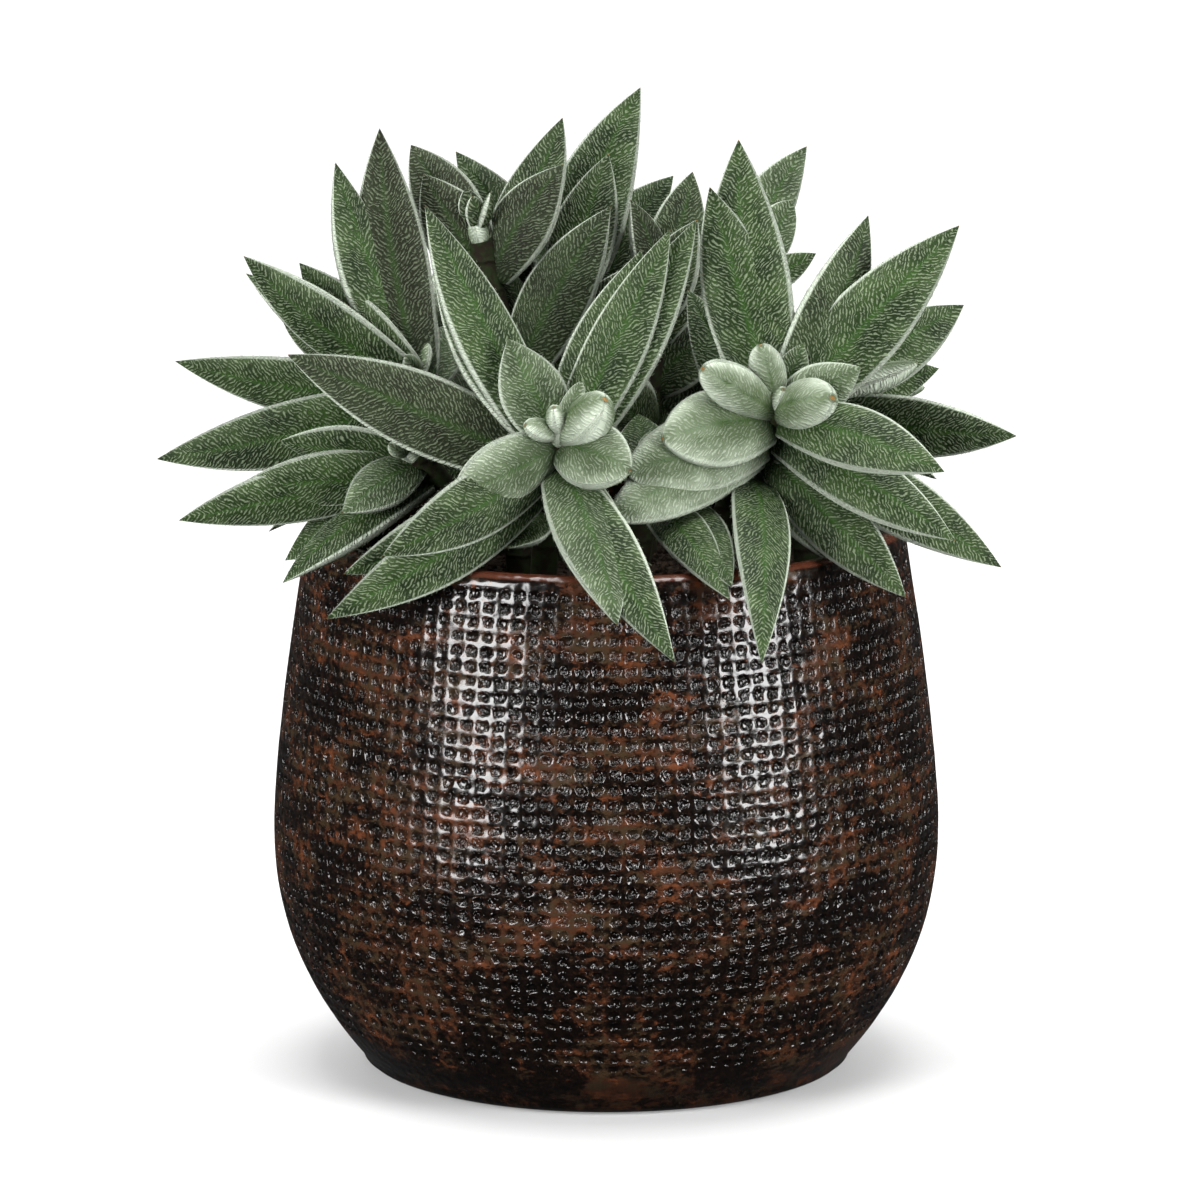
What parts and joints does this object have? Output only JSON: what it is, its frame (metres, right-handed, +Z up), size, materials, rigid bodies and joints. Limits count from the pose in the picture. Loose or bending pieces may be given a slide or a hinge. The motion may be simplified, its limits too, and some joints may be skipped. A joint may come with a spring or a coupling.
{
  "type": "potted succulent plant",
  "caption": "Bushy succulent with pointed fleshy leaves in crossed pairs, standing in a round glazed pot filled with soil.",
  "frame": {"origin": "centre of the pot's flat foot, on the surface that it stands on", "axes": "+Z up; -Y towards the front of the plant; +X to the right as seen from the front"},
  "size_m": [0.1773, 0.1545, 0.2021],
  "materials": {
    "glazed_pot": "dark brown glaze with rust patches, glossy, pressed all over with small pits",
    "potting_soil": "dark, crumbly and matte, loose peat soil",
    "leaf": "fleshy green leaf, matte under short silvery hairs"
  },
  "bodies": {
    "root": {"pot": "glazed_pot", "soil": "potting_soil", "shoot_front": "leaf", "shoot_right": "leaf", "shoot_centre": "leaf", "shoot_left": "leaf", "shoot_low_left": "leaf", "shoot_back_left": "leaf", "shoot_back": "leaf", "shoot_back_middle": "leaf", "shoot_back_right": "leaf", "shoot_far_right": "leaf", "shoot_rear_left": "leaf", "shoot_rear": "leaf", "shoot_rear_right": "leaf"}
  },
  "joints": []
}
